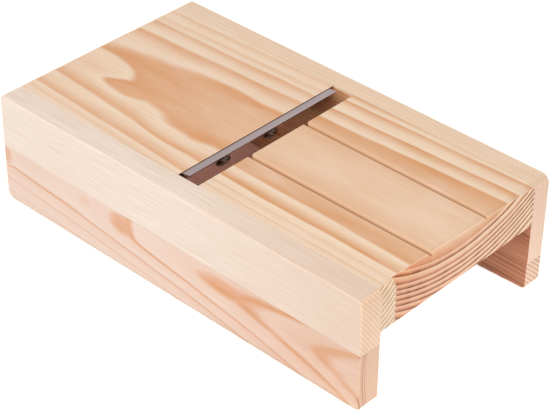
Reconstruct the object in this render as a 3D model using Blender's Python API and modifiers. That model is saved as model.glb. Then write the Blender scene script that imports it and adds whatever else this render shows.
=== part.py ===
"""Soap cutter that planes and bevels: a glued pine table between two side walls, with a bedded steel blade.

Units are metres and +Z is up. The origin is the centre of the footprint, on the bench.
A bar of soap is pushed towards -X: along the infeed board, over the blade's edge and on to
the outfeed board. The near side wall is at -Y. Shavings fall through the throat into the
open space under the table. The blade lies on a sloped bed under the outfeed board, held by
two pan-head screws in slotted holes, and slides along the bed to set the depth of cut.
"""
import math

import bmesh
import bpy
from mathutils import Matrix, Vector

# Overall sizes
LENGTH = 0.205
WIDTH = 0.114
HEIGHT = 0.0525

# Wooden strips: two glued boards make the table, two strips make each wall
NEAR_WALL_THICKNESS = 0.011
FAR_WALL_THICKNESS = 0.010
TABLE_THICKNESS = 0.020
NEAR_LAMELLA_WIDTH = 0.008
NEAR_WALL_JOINT_HEIGHT = 0.027
FAR_WALL_JOINT_HEIGHT = 0.013
GLUE_GAP = 0.0003
END_RADIUS = 0.004
INFEED_FOOT_RADIUS = 0.0018
OUTFEED_TOP_RADIUS = 0.0022
EASED_EDGE = 0.0009

# Throat: the lips are the top edges of its two sloped faces
OUTFEED_LIP_FROM_CENTRE = 0.005
THROAT_OPENING = 0.011
BED_ANGLE = math.radians(45)
INFEED_UNDERCUT_ANGLE = math.radians(45)

# Square-cornered V-grooves that guide a soap's corner to the blade, one on each side of the
# table's middle line
GROOVE_SPACING = 0.0333
GROOVE_WIDTH = 0.0029

# Blade: the grind is on its upper side, and ends in a narrow steeper honed strip
BLADE_THICKNESS = 0.0025
BLADE_LENGTH = 0.027
BLADE_NEAR_GAP = 0.002
BLADE_FAR_GAP = 0.003
BLADE_RISE = 0.0006
BLADE_BED_GAP = 0.0003
GRIND_ANGLE = math.radians(35)
HONE_ANGLE = math.radians(40)
HONE_WIDTH = 0.0005
DEPTH_TRAVEL_UP = 0.001
DEPTH_TRAVEL_DOWN = 0.0015

# Pan-head tapping screws, measured along the screw from under its head
SCREW_SPACING = 0.0285
SCREW_FROM_EDGE = 0.0166
SCREW_LENGTH = 0.013
SCREW_POINT_LENGTH = 0.003
SCREW_DIAMETER = 0.0035
HEAD_DIAMETER = 0.007
HEAD_HEIGHT = 0.0026
HEAD_RIM_HEIGHT = 0.0008
HEAD_SEAT_GAP = 0.0003
SLOT_CLEARANCE = 0.0003
RECESS_SPAN = 0.0042
RECESS_SPAN_AT_BOTTOM = 0.0018
RECESS_WING_WIDTH = 0.0009
RECESS_DEPTH = 0.0016
RECESS_OVERRUN = 0.0003
BORE_CLEARANCE = 0.0003

# Working values
CUT_OVERRUN = 0.002
WELD_DISTANCE = 0.000001
ROUND_STEPS = 8
SLOT_STEPS = 16
DOME_STEPS = 8
TURN_STEPS = 32
BORE_STEPS = 24
SMOOTH_ANGLE = math.radians(30)
FLAT_ANGLE = math.radians(0.1)

# Places worked out from the sizes above
NEAR_INNER_Y = NEAR_WALL_THICKNESS - WIDTH / 2
FAR_INNER_Y = WIDTH / 2 - FAR_WALL_THICKNESS
TABLE_MIDDLE_Y = (NEAR_INNER_Y + FAR_INNER_Y) / 2
GLUE_SETBACK = GLUE_GAP / 2
UNDERSIDE = HEIGHT - TABLE_THICKNESS
LAMELLA_JOINT_Y = NEAR_INNER_Y + NEAR_LAMELLA_WIDTH
OUTFEED_LIP_X = -OUTFEED_LIP_FROM_CENTRE
INFEED_LIP_X = OUTFEED_LIP_X + THROAT_OPENING
BLADE_WIDTH = FAR_INNER_Y - BLADE_FAR_GAP - NEAR_INNER_Y - BLADE_NEAR_GAP
BLADE_MIDDLE_Y = NEAR_INNER_Y + BLADE_NEAR_GAP + BLADE_WIDTH / 2

# Directions of the bed in the side view: up its slope, and square to it into the wood
UP_SLOPE = Vector((math.cos(BED_ANGLE), 0, math.sin(BED_ANGLE)))
INTO_WOOD = Vector((-math.sin(BED_ANGLE), 0, math.cos(BED_ANGLE)))

# The side view, drawn as x and z, stands up when it is turned a quarter turn about X
SIDE_VIEW = Matrix.Rotation(math.pi / 2, 4, "X")

PINE_PALE = (0.867, 0.694, 0.515)
PINE_PEACH = (0.807, 0.578, 0.392)
PINE_ROSE = (0.814, 0.590, 0.455)
PINE_CREAM = (0.888, 0.723, 0.560)
BLADE_STEEL = (0.55, 0.50, 0.50)
SCREW_STEEL = (0.12, 0.11, 0.11)
WOOD_ROUGHNESS = 0.6
BLADE_ROUGHNESS = 0.32
SCREW_ROUGHNESS = 0.35


def clear_scene():
    for old in list(bpy.data.objects):
        bpy.data.objects.remove(old)


def new_collection(name):
    collection = bpy.data.collections.new(name)
    bpy.context.scene.collection.children.link(collection)
    return collection


def finish(piece, colour, roughness, metallic):
    """Give the piece a Principled material of its own."""
    material = bpy.data.materials.new(piece.name + "_finish")
    material.use_nodes = True
    shader = material.node_tree.nodes["Principled BSDF"]
    shader.inputs["Base Color"].default_value = (*colour, 1)
    shader.inputs["Roughness"].default_value = roughness
    shader.inputs["Metallic"].default_value = metallic
    piece.data.materials.clear()
    piece.data.materials.append(material)


def arc(centre, radius, start, end, steps):
    """Points of a round stretch, from one angle to another."""
    points = []
    for step in range(steps + 1):
        angle = start + (end - start) * step / steps
        points.append((centre[0] + radius * math.cos(angle), centre[1] + radius * math.sin(angle)))
    return points


def quarter(corner_x, corner_z, radius, start):
    """A rounded square corner; start is the angle at which its quarter circle begins."""
    middle = start + math.pi / 4
    centre = (corner_x - radius * math.copysign(1, math.cos(middle)),
              corner_z - radius * math.copysign(1, math.sin(middle)))
    return arc(centre, radius, start, start + math.pi / 2, ROUND_STEPS)


def extruded(name, outline, low, high, placement, collection):
    """A closed solid: a flat outline carried from low to high along the placement's Z."""
    curve = bpy.data.curves.new(name, "CURVE")
    curve.dimensions = "2D"
    curve.fill_mode = "BOTH"
    curve.extrude = (high - low) / 2
    spline = curve.splines.new("POLY")
    spline.points.add(len(outline) - 1)
    for point, (across, up) in zip(spline.points, outline):
        point.co = (across, up, 0, 1)
    spline.use_cyclic_u = True
    drawn = bpy.data.objects.new(name + "_outline", curve)
    collection.objects.link(drawn)
    drawn.matrix_world = placement @ Matrix.Translation((0, 0, (low + high) / 2))
    bpy.context.view_layer.update()

    mesh = bpy.data.meshes.new_from_object(drawn.evaluated_get(bpy.context.evaluated_depsgraph_get()))
    work = bmesh.new()
    work.from_mesh(mesh)
    bmesh.ops.remove_doubles(work, verts=work.verts, dist=WELD_DISTANCE)
    bmesh.ops.dissolve_limit(work, angle_limit=FLAT_ANGLE, verts=work.verts, edges=work.edges)
    bmesh.ops.recalc_face_normals(work, faces=work.faces)
    work.to_mesh(mesh)
    work.free()
    solid = bpy.data.objects.new(name, mesh)
    collection.objects.link(solid)
    solid.matrix_world = drawn.matrix_world
    bpy.data.objects.remove(drawn)
    return solid


def board(name, outline, low_y, high_y, collection):
    """A wooden strip with its side outline in x and z, from low_y to high_y."""
    return extruded(name, outline, -high_y, -low_y, SIDE_VIEW, collection)


def ease_edges(piece, is_free):
    """Round the edges for which is_free(one end, other end) holds, by a weighted bevel."""
    mesh = piece.data
    weights = mesh.attributes.new("bevel_weight_edge", "FLOAT", "EDGE")
    places = [piece.matrix_world @ vertex.co for vertex in mesh.vertices]
    for edge in mesh.edges:
        one, other = (places[index] for index in edge.vertices)
        weights.data[edge.index].value = 1 if is_free(one, other) else 0
    bevel = piece.modifiers.new("eased_edges", "BEVEL")
    bevel.limit_method = "WEIGHT"
    bevel.width = EASED_EDGE
    bevel.segments = 2


def near_value(value, target):
    return abs(value - target) < WELD_DISTANCE


def cut(piece, cutter):
    """Take the cutter's shape out of the piece."""
    boolean = piece.modifiers.new(cutter.name, "BOOLEAN")
    boolean.operation = "DIFFERENCE"
    boolean.solver = "EXACT"
    boolean.object = cutter
    cutter.hide_render = True
    cutter.display_type = "WIRE"


def move_to(piece, collection):
    for old in list(piece.users_collection):
        old.objects.unlink(piece)
    collection.objects.link(piece)


def smooth(piece):
    piece.data.shade_smooth()
    piece.data.set_sharp_from_angle(angle=SMOOTH_ANGLE)


def wall_strips(side, joint_height, lower_colour, upper_colour, parts):
    """One side wall: a lower and an upper strip, glued edge to edge at joint_height.

    side is -1 for the near wall and 1 for the far wall.
    """
    label = "near" if side < 0 else "far"
    outer = side * WIDTH / 2
    inner = NEAR_INNER_Y - GLUE_SETBACK if side < 0 else FAR_INNER_Y + GLUE_SETBACK
    low_y = min(outer, inner)
    high_y = max(outer, inner)
    left = -LENGTH / 2
    right = LENGTH / 2
    lower_top = joint_height - GLUE_SETBACK
    upper_bottom = joint_height + GLUE_SETBACK

    lower_outline = [(right, lower_top), (left, lower_top)]
    lower_outline += quarter(left, 0, END_RADIUS, math.pi)
    lower_outline += quarter(right, 0, INFEED_FOOT_RADIUS, 1.5 * math.pi)
    lower = board(label + "_wall_lower", lower_outline, low_y, high_y, parts)

    def free_on_lower(one, other):
        along_rim = near_value(one.y, other.y)
        on_joint = near_value(one.z, lower_top) and near_value(other.z, lower_top)
        return along_rim and not on_joint

    upper_outline = [(left, upper_bottom), (right, upper_bottom)]
    upper_outline += quarter(right, HEIGHT, END_RADIUS, 0)
    upper_outline += quarter(left, HEIGHT, OUTFEED_TOP_RADIUS, 0.5 * math.pi)
    upper = board(label + "_wall_upper", upper_outline, low_y, high_y, parts)

    def free_on_upper(one, other):
        on_outside = near_value(one.y, outer) and near_value(other.y, outer)
        on_joint = near_value(one.z, upper_bottom) and near_value(other.z, upper_bottom)
        return on_outside and not on_joint

    for strip, is_free, colour in ((lower, free_on_lower, lower_colour),
                                   (upper, free_on_upper, upper_colour)):
        ease_edges(strip, is_free)
        smooth(strip)
        finish(strip, colour, WOOD_ROUGHNESS, 0)


def outfeed_outline():
    """Side outline of the board past the blade; its sloped end is the blade's bed."""
    left = -LENGTH / 2
    bed_foot = OUTFEED_LIP_X - TABLE_THICKNESS / math.tan(BED_ANGLE)
    outline = [(left, UNDERSIDE), (bed_foot, UNDERSIDE), (OUTFEED_LIP_X, HEIGHT)]
    outline += quarter(left, HEIGHT, OUTFEED_TOP_RADIUS, 0.5 * math.pi)
    return outline


def infeed_outline():
    """Side outline of the board before the blade, undercut away from the blade."""
    right = LENGTH / 2
    undercut_foot = INFEED_LIP_X + TABLE_THICKNESS * math.tan(INFEED_UNDERCUT_ANGLE)
    outline = [(INFEED_LIP_X, HEIGHT), (undercut_foot, UNDERSIDE), (right, UNDERSIDE)]
    outline += quarter(right, HEIGHT, END_RADIUS, 0)
    return outline


def table_boards(label, outline, colours, parts):
    """A table board and the narrow lamella glued along its near side."""
    lamella = board(label + "_near_lamella", outline, NEAR_INNER_Y + GLUE_SETBACK,
                    LAMELLA_JOINT_Y - GLUE_SETBACK, parts)
    main = board(label + "_board", outline, LAMELLA_JOINT_Y + GLUE_SETBACK,
                 FAR_INNER_Y - GLUE_SETBACK, parts)
    for strip, colour in ((lamella, colours[0]), (main, colours[1])):
        smooth(strip)
        finish(strip, colour, WOOD_ROUGHNESS, 0)
    return main


def groove_cutter(y, cutters):
    """A square bar on edge, whose lower half is the V of a groove."""
    start = INFEED_LIP_X - CUT_OVERRUN
    end = LENGTH / 2 + CUT_OVERRUN
    bpy.ops.mesh.primitive_cube_add(size=1, location=((start + end) / 2, y, HEIGHT))
    bar = bpy.context.object
    bar.name = "groove_bar"
    bar_side = GROOVE_WIDTH / math.sqrt(2)
    bar.data.transform(Matrix.Diagonal((end - start, bar_side, bar_side, 1)))
    bar.rotation_euler.x = math.pi / 4
    move_to(bar, cutters)
    return bar


def blade_edge():
    """Middle of the cutting edge, the lower corner of the blade's upper end."""
    below_bed = BLADE_BED_GAP + BLADE_THICKNESS
    lip = Vector((OUTFEED_LIP_X, BLADE_MIDDLE_Y, HEIGHT))
    along = (BLADE_RISE + below_bed * math.cos(BED_ANGLE)) / math.sin(BED_ANGLE)
    return lip - below_bed * INTO_WOOD + along * UP_SLOPE


def bed_frame(origin):
    """Placement with X up the slope of the bed, Y across it and Z square into the wood."""
    return Matrix.Translation(origin) @ Matrix.Rotation(-BED_ANGLE, 4, "Y")


def make_blade(parts, cutters):
    """A ground plate with two slotted holes, on a guide empty that slides along the bed."""
    guide = bpy.data.objects.new("blade_depth_guide", None)
    guide.matrix_world = bed_frame(blade_edge())
    parts.objects.link(guide)

    hone_back = (-HONE_WIDTH * math.cos(HONE_ANGLE), HONE_WIDTH * math.sin(HONE_ANGLE))
    grind_run = (BLADE_THICKNESS - hone_back[1]) / math.tan(GRIND_ANGLE)
    profile = [(0, 0), hone_back, (hone_back[0] - grind_run, BLADE_THICKNESS),
               (-BLADE_LENGTH, BLADE_THICKNESS), (-BLADE_LENGTH, 0)]
    blade = extruded("blade", profile, -BLADE_WIDTH / 2, BLADE_WIDTH / 2,
                     guide.matrix_world @ SIDE_VIEW, parts)

    slot_radius = SCREW_DIAMETER / 2 + SLOT_CLEARANCE
    low_centre = (-SCREW_FROM_EDGE - DEPTH_TRAVEL_UP, 0)
    high_centre = (-SCREW_FROM_EDGE + DEPTH_TRAVEL_DOWN, 0)
    slot_outline = arc(high_centre, slot_radius, -math.pi / 2, math.pi / 2, SLOT_STEPS)
    slot_outline += arc(low_centre, slot_radius, math.pi / 2, 1.5 * math.pi, SLOT_STEPS)
    for side in (-1, 1):
        across = Matrix.Translation((0, side * SCREW_SPACING / 2, 0))
        slot = extruded("slot_cutter", slot_outline, -CUT_OVERRUN, BLADE_THICKNESS + CUT_OVERRUN,
                        guide.matrix_world @ across, cutters)
        cut(blade, slot)

    bpy.context.view_layer.update()
    placed = blade.matrix_world.copy()
    blade.parent = guide
    blade.matrix_world = placed
    finish(blade, BLADE_STEEL, BLADE_ROUGHNESS, 1)


def head_dome():
    """Profile of the pan head's dome, from its rim to the axis, as an elliptic quarter arc."""
    dome_height = HEAD_HEIGHT - HEAD_RIM_HEIGHT
    rim = -HEAD_SEAT_GAP - HEAD_RIM_HEIGHT
    points = []
    for step in range(DOME_STEPS + 1):
        angle = math.pi / 2 * step / DOME_STEPS
        points.append((HEAD_DIAMETER / 2 * math.cos(angle), rim - dome_height * math.sin(angle)))
    points[-1] = (0, rim - dome_height)
    return points


def recess_cutter(turn, placement, cutters):
    """One tapered wing of the cross recess, turned about the screw's axis."""
    work = bmesh.new()
    deep_half = RECESS_SPAN_AT_BOTTOM / 2
    open_half = RECESS_SPAN / 2
    bmesh.ops.create_cone(work, cap_ends=True, segments=4, radius1=open_half * math.sqrt(2),
                          radius2=deep_half * math.sqrt(2), depth=RECESS_DEPTH)
    square_on = Matrix.Rotation(math.pi / 4, 4, "Z")
    thin = Matrix.Diagonal((1, RECESS_WING_WIDTH / RECESS_SPAN, 1, 1))
    bmesh.ops.transform(work, matrix=thin @ square_on, verts=work.verts)
    mesh = bpy.data.meshes.new("recess_wing")
    work.to_mesh(mesh)
    work.free()
    wing = bpy.data.objects.new("recess_wing", mesh)
    cutters.objects.link(wing)
    head_top = -HEAD_SEAT_GAP - HEAD_HEIGHT
    wing.matrix_world = (placement @ Matrix.Rotation(turn, 4, "Z")
                         @ Matrix.Translation((0, 0, head_top + RECESS_DEPTH / 2 - RECESS_OVERRUN)))
    return wing


def make_screw(label, side, outfeed, parts, cutters):
    """A pan-head screw through the blade's slot, and its hole in the outfeed board."""
    seat = blade_edge() - SCREW_FROM_EDGE * UP_SLOPE
    seat.y += side * SCREW_SPACING / 2
    placement = bed_frame(seat)

    tip = SCREW_LENGTH - HEAD_SEAT_GAP
    profile = [(0, tip), (SCREW_DIAMETER / 2, tip - SCREW_POINT_LENGTH),
               (SCREW_DIAMETER / 2, -HEAD_SEAT_GAP), (HEAD_DIAMETER / 2, -HEAD_SEAT_GAP)]
    profile += head_dome()
    mesh = bpy.data.meshes.new("blade_screw_" + label)
    links = [(index, index + 1) for index in range(len(profile) - 1)]
    mesh.from_pydata([(radius, 0, height) for radius, height in profile], links, [])
    screw = bpy.data.objects.new("blade_screw_" + label, mesh)
    parts.objects.link(screw)
    screw.matrix_world = placement
    turned = screw.modifiers.new("turned", "SCREW")
    turned.axis = "Z"
    turned.steps = TURN_STEPS
    turned.render_steps = TURN_STEPS
    turned.use_merge_vertices = True
    turned.merge_threshold = WELD_DISTANCE
    turned.use_smooth_shade = True
    for turn in (0, math.pi / 2):
        cut(screw, recess_cutter(turn, placement, cutters))
    finish(screw, SCREW_STEEL, SCREW_ROUGHNESS, 1)

    bore_start = BLADE_THICKNESS + BLADE_BED_GAP - CUT_OVERRUN / 2
    bore_end = tip + BORE_CLEARANCE
    bpy.ops.mesh.primitive_cylinder_add(vertices=BORE_STEPS, depth=bore_end - bore_start,
                                        radius=SCREW_DIAMETER / 2 + BORE_CLEARANCE)
    bore = bpy.context.object
    bore.name = "screw_bore"
    bore.matrix_world = placement @ Matrix.Translation((0, 0, (bore_start + bore_end) / 2))
    move_to(bore, cutters)
    cut(outfeed, bore)


def main():
    clear_scene()
    parts = new_collection("soap_cutter")
    cutters = new_collection("cutters")

    wall_strips(-1, NEAR_WALL_JOINT_HEIGHT, PINE_ROSE, PINE_CREAM, parts)
    wall_strips(1, FAR_WALL_JOINT_HEIGHT, PINE_PEACH, PINE_PALE, parts)
    outfeed = table_boards("outfeed", outfeed_outline(), (PINE_CREAM, PINE_PEACH), parts)
    infeed = table_boards("infeed", infeed_outline(), (PINE_PALE, PINE_PEACH), parts)
    for side in (-1, 1):
        groove_y = TABLE_MIDDLE_Y + side * GROOVE_SPACING / 2
        cut(infeed, groove_cutter(groove_y, cutters))

    make_blade(parts, cutters)
    make_screw("near", -1, outfeed, parts, cutters)
    make_screw("far", 1, outfeed, parts, cutters)


main()
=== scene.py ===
"""Looks of a wooden soap planer: glued pine strips, a ground steel blade and its two screws.

Metres, +Z up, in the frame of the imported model: X along the table, the near side wall at -Y,
the bench at Z zero. The places of the grain are given in millimetres, as on a drawing.
"""

import math

import bmesh
import bpy
import numpy as np
from mathutils import Matrix, Vector


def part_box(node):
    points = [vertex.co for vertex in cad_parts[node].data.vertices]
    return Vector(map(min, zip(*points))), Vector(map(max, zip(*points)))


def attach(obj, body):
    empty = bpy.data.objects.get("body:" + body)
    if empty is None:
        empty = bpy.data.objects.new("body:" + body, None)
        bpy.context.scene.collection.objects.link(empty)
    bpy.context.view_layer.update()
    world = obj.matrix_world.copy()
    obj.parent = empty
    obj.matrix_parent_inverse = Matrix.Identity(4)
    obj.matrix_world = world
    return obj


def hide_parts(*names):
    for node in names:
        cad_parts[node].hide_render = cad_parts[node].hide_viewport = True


MM = 0.001

# Camera of the photograph: its place, its direction and its field of view
CAMERA_PLACE = Vector((438.17, -463.99, 474.11)) * MM
CAMERA_AZIMUTH = math.radians(43.012)
CAMERA_ELEVATION = math.radians(35.668)
CAMERA_ROLL = math.radians(0.493)
PICTURE_WIDTH = 550
FOCAL_LENGTH_IN_PIXELS = 1853.9
HALF_PIXEL = 0.5
SENSOR_WIDTH = 36.0

# How brightly the studio lights a face, against a white that just fills the picture's scale
TOP_LIGHT = (1.57, 1.49, 1.435)
SIDE_LIGHT = (1.8, 1.8, 1.8)
END_LIGHT = (1.5, 1.5, 1.5)

# Wooden strips
SEAM_FILL = 0.13 * MM
END_RADIUS = 4.0 * MM
INFEED_FOOT_RADIUS = 1.8 * MM
OUTFEED_TOP_RADIUS = 2.2 * MM
EASED_EDGE = 0.9 * MM
CRISP_EDGE = 0.25 * MM
LIP_EDGE = 0.12 * MM
ARC_STEPS = 12
GROOVE_SPACING = 33.3 * MM
GROOVE_WIDTH = 2.9 * MM
GROOVE_WEAR = 0.1 * MM
GROOVE_STATIONS = 41

# Blade, in the side view of its bed
BED_ANGLE = math.radians(45)
BLADE_THICKNESS = 2.5 * MM
BLADE_LENGTH = 27.0 * MM
GRIND_ANGLE = math.radians(35)
HONE_ANGLE = math.radians(40)
HONE_WIDTH = 0.5 * MM
SLOT_HALF_LENGTH = 1.25 * MM
SLOT_MIDDLE_FROM_EDGE = 16.35 * MM
SLOT_RADIUS = 2.05 * MM
CELL_HALF_WIDTH = 6.0 * MM
CELL_STEPS = 12
CELL_ROWS = 7
SLOT_STEEPNESS = 4
BLADE_SOFTENING = 0.04 * MM

# Screws
SCREW_NODES = ("blade_screw_near", "blade_screw_far")
SCREW_FROM_EDGE = 16.6 * MM
SCREW_LENGTH = 13.0 * MM
POINT_LENGTH = 3.0 * MM
CORE_RADIUS = 1.25 * MM
THREAD_RADIUS = 1.72 * MM
THREAD_PITCH = 1.3 * MM
NECK_LENGTH = 3.2 * MM
HEAD_RADIUS = 3.5 * MM
HEAD_HEIGHT = 2.6 * MM
HEAD_RIM = 0.8 * MM
HEAD_SEAT_GAP = 0.3 * MM
RIM_ROUNDING = 0.2 * MM
RECESS_DEPTH = 1.5 * MM
RECESS_HALF_SPAN = 2.1 * MM
RECESS_HALF_SPAN_DEEP = 0.9 * MM
RECESS_HALF_WIDTH = 0.45 * MM
RECESS_WALL = 0.12 * MM
TURN_STEPS = 96
SHANK_STEPS = 120
RIM_STEPS = 9
DOME_STEPS = 60
TIP_RADIUS = 0.05 * MM

# Making of the meshes, and which faces count as a cut end or as level
WELD = 1e-7
SMOOTH_ANGLE = math.radians(32)
END_LEAN = 0.14
LEVEL_LEAN = 0.1

# Pine in millimetres: its soft patterns' sizes along x, y and z, and the places where it changes
CLOUD_SIZE = (45, 9, 9)
FIBRE_SIZE = (26, 0.55, 0.55)
FLECK_SIZE = (7, 0.22, 0.22)
BLUSH_SIZE = (34, 11, 11)
PATCH_SIZE = (9, 5, 5)
RAY_SIZE = (0.3, 2.2, 1)
HIDDEN_LINE_SIZE = (60, 2, 0.9)
RING_FALL = 0.18
BLOT_FALL = 0.1
END_LINE = (48.5, 0.0)
END_LINE_SOFTNESS = 0.3
ROUNDING_REACH = 5
BROWNING_START = -10
BROWNING_FULL = 105
# Painted shade under the table turns lighter between these distances from the middle, towards the throat
INNERMOST_START = 62
INNERMOST_FULL = 36
WARMTH_REACH = 85
# Painted shade at the groove bottoms: full within the core from a groove's middle, gone past the reach, and
# only down to about the groove's depth
GROOVE_SHADE_CORE = 0.1
GROOVE_SHADE_REACH = 0.9
GROOVE_SHADE_TOP = 1.45
GROOVE_SHADE_FULL = 1.7
# Depths below the top where the painted shade on hidden faces starts and where it is full
HIDDEN_TOP = 0.2
HIDDEN_FULL = 1.2
PALE_BEFORE = 0.9
PALE_AFTER = 1.5

# Shares of a spot's size where it is full and where it has faded
SPOT_CORE = 0.4
SPOT_EDGE = 1.3

# Shares of its full tone that late wood starts with, in listed rings and in even ones, and the
# share of an even ring where its tone is full
LISTED_LATE_START = 0.22
EVEN_LATE_START = 0.3
EVEN_RING_PEAK = 0.93

# How far a pattern is carried along an axis for each millimetre of drop or of retreat
DROP_CARRY_X = 0.95
DROP_CARRY_Y = -1.02
RETREAT_CARRY_Y = -1.07
RETREAT_CARRY_Z = 1.05

# How deep the relief of the finishes is
PINE_RELIEF = 0.12 * MM
STEEL_RELIEF = 0.05 * MM

# Studio
FLOOR_REACH = 6.0
ROOM_BRIGHTNESS = 0.75

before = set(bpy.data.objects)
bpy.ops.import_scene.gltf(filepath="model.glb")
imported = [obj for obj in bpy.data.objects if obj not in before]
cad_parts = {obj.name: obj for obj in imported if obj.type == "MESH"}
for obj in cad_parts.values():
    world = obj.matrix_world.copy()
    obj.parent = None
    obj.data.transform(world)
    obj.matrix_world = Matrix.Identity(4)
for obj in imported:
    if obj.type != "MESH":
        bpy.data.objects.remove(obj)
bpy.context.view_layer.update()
TOP_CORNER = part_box("near_wall_upper")[1]
TABLE_TOP = TOP_CORNER.z
HALF_LENGTH = TOP_CORNER.x
NEAR_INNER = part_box("outfeed_near_lamella")[0].y - SEAM_FILL
FAR_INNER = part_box("outfeed_board")[1].y + SEAM_FILL
TABLE_MIDDLE = (NEAR_INNER + FAR_INNER) / 2
GROOVE_PLACES = (TABLE_MIDDLE - GROOVE_SPACING / 2, TABLE_MIDDLE + GROOVE_SPACING / 2)
TOP_HEIGHT = TABLE_TOP / MM
END_DISTANCE = HALF_LENGTH / MM


def srgb(red, green, blue, light=(1, 1, 1)):
    """The colour of a face that screens show as these numbers, from 0 to 255, in that light."""
    shares = np.array((red, green, blue)) / 255
    linear = np.where(shares <= 0.04045, shares / 12.92, ((shares + 0.055) / 1.055) ** 2.4)
    return (*(linear / np.array(light)).tolist(), 1.0)


class Amount:
    """A value worked out in a material. Its operators add Math nodes."""

    def __init__(self, recipe, socket):
        self.recipe = recipe
        self.socket = socket

    def __add__(self, other):
        return self.recipe.math("ADD", self, other)

    __radd__ = __add__

    def __sub__(self, other):
        return self.recipe.math("SUBTRACT", self, other)

    def __rsub__(self, other):
        return self.recipe.math("SUBTRACT", other, self)

    def __mul__(self, other):
        return self.recipe.math("MULTIPLY", self, other)

    __rmul__ = __mul__

    def __truediv__(self, other):
        return self.recipe.math("DIVIDE", self, other)


class Recipe:
    """One material and the nodes that it is worked out with."""

    def __init__(self, name):
        self.material = bpy.data.materials.new(name)
        self.material.use_nodes = True
        self.tree = self.material.node_tree
        self.shader = self.tree.nodes["Principled BSDF"]

    def node(self, kind, settings, inputs, output=0):
        """Add a node, its settings first and then the values or links of its sockets."""
        made = self.tree.nodes.new(kind)
        for name, value in settings.items():
            if name == "stops":
                self.set_stops(made.color_ramp, value)
            else:
                setattr(made, name, value)
        for key, value in inputs.items():
            self.feed(made.inputs[key], value)
        return Amount(self, made.outputs[output])

    def set_stops(self, ramp, stops):
        while len(ramp.elements) < len(stops):
            ramp.elements.new(1)
        for element, (position, tone) in zip(ramp.elements, stops):
            element.position = position
            element.color = (tone, tone, tone, 1)

    def feed(self, socket, value):
        if isinstance(value, Amount):
            self.tree.links.new(value.socket, socket)
        else:
            socket.default_value = value

    def surface(self, **inputs):
        """Values or links of the shader itself, named with underscores for spaces."""
        for name, value in inputs.items():
            self.feed(self.shader.inputs[name.replace("_", " ")], value)

    def math(self, operation, *values):
        return self.node("ShaderNodeMath", {"operation": operation}, dict(enumerate(values)))

    def vector(self, operation, *values, output=0):
        settings = {"operation": operation}
        return self.node("ShaderNodeVectorMath", settings, dict(enumerate(values)), output)

    def dot(self, one, other):
        return self.vector("DOT_PRODUCT", one, other, output="Value")

    def parts(self, vector):
        """The parts of a vector along x, y and z."""
        return [self.dot(vector, axis) for axis in ((1, 0, 0), (0, 1, 0), (0, 0, 1))]

    def place(self):
        """Where a point is on the object, in millimetres."""
        metres = self.node("ShaderNodeTexCoord", {}, {}, "Object")
        return self.vector("MULTIPLY", metres, (1 / MM, 1 / MM, 1 / MM))

    def attribute(self, name):
        return self.node("ShaderNodeAttribute", {"attribute_name": name}, {}, "Fac")

    def noise(self, place, size, detail=2.0, seed=0.0):
        """Soft noise from 0 to 1 whose spots have that size along x, y and z."""
        stretched = self.vector("DIVIDE", place, size)
        moved = self.vector("ADD", stretched, (seed, seed * 0.7, seed * 1.3))
        return self.node("ShaderNodeTexNoise", {}, {"Vector": moved, "Scale": 1.0, "Detail": detail})

    def ramp(self, value, stops):
        return self.node("ShaderNodeValToRGB", {"stops": stops}, {"Fac": value})

    def smooth_step(self, value, low, high):
        return self.node("ShaderNodeMapRange", {"interpolation_type": "SMOOTHSTEP"},
                         {"Value": value, "From Min": low, "From Max": high})

    def mix(self, share, one, other, blend="MIX"):
        """Blend two colours; the share is a value from 0 to 1."""
        return self.node("ShaderNodeMix", {"data_type": "RGBA", "blend_type": blend},
                         {0: share, 6: one, 7: other}, 2)


def nearness(recipe, place, centre, size):
    """1 round a centre, falling softly to 0 a little past the size along x, y and z."""
    reach = recipe.vector("DIVIDE", recipe.vector("SUBTRACT", place, centre), size)
    return recipe.smooth_step(recipe.vector("LENGTH", reach, output="Value"), SPOT_EDGE, SPOT_CORE)


def ring_depth(recipe, place, grain):
    """How far out a point lies from the tree's middle and how far round it, in millimetres.

    Out is the distance along the direction of growth, plus the square of the distance across it
    times the rings' bend, which may change along the strip with x and its square, plus swells with
    a flat middle and a slow wobble.
    """
    away = recipe.vector("SUBTRACT", place, grain["origin"])
    along = recipe.dot(away, grain["growth"])
    across = recipe.dot(away, grain["across"])
    bend = grain["bend"]
    if "bend_change" in grain:
        x = recipe.parts(place)[0]
        steady, growing = grain["bend_change"]
        bend = (x * growing + steady) * x + bend
    depth = along + across * across * bend
    for centre, size, height in grain.get("swells", ()):
        depth = depth + nearness(recipe, place, centre, size) * height
    wobble = recipe.noise(place, grain["wobble_size"], 1.5, grain["seed"])
    return depth + (wobble - 0.5) * grain["wobble"], across


def listed_ring_stops(rings, late_share):
    """Stops of a tone that rises slowly inside each ring and falls at once at its edge."""
    first = rings[0][0]
    span = rings[-1][0] - first
    stops = [(0.0, 0.0)]
    for before, (outer, tone, *own_share) in zip(rings, rings[1:]):
        late = (outer - before[0]) * (own_share[0] if own_share else late_share)
        stops.append(((outer - late - first) / span, tone * LISTED_LATE_START))
        stops.append(((outer - RING_FALL - first) / span, tone))
        stops.append((min((outer + RING_FALL - first) / span, 1.0), 0.0))
    return stops, first, span


def ring_tone(recipe, place, depth, grain):
    """Tone of the ring that a point lies in: 0 for pale spring wood, 1 for dark late wood.

    Blots of late wood, where the cut only grazes a ring, end at the edge of that ring.
    """
    if "rings" in grain:
        stops, first, span = listed_ring_stops(grain["rings"], grain["late_share"])
        tone = recipe.ramp((depth - first) / span, stops)
        for centre, size, strength, outer in grain.get("blots", ()):
            blot = nearness(recipe, place, centre, size) * strength
            inside = recipe.smooth_step(depth, outer + BLOT_FALL, outer - BLOT_FALL)
            tone = recipe.math("MAXIMUM", tone, blot * inside)
        return tone
    part = recipe.math("FRACT", depth / grain["spacing"])
    tone = grain["tone"]
    late_start = 1 - grain["late_share"]
    return recipe.ramp(part, [(0.0, 0.0), (late_start, tone * EVEN_LATE_START),
                              (EVEN_RING_PEAK, tone), (1.0, 0.0)])


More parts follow.
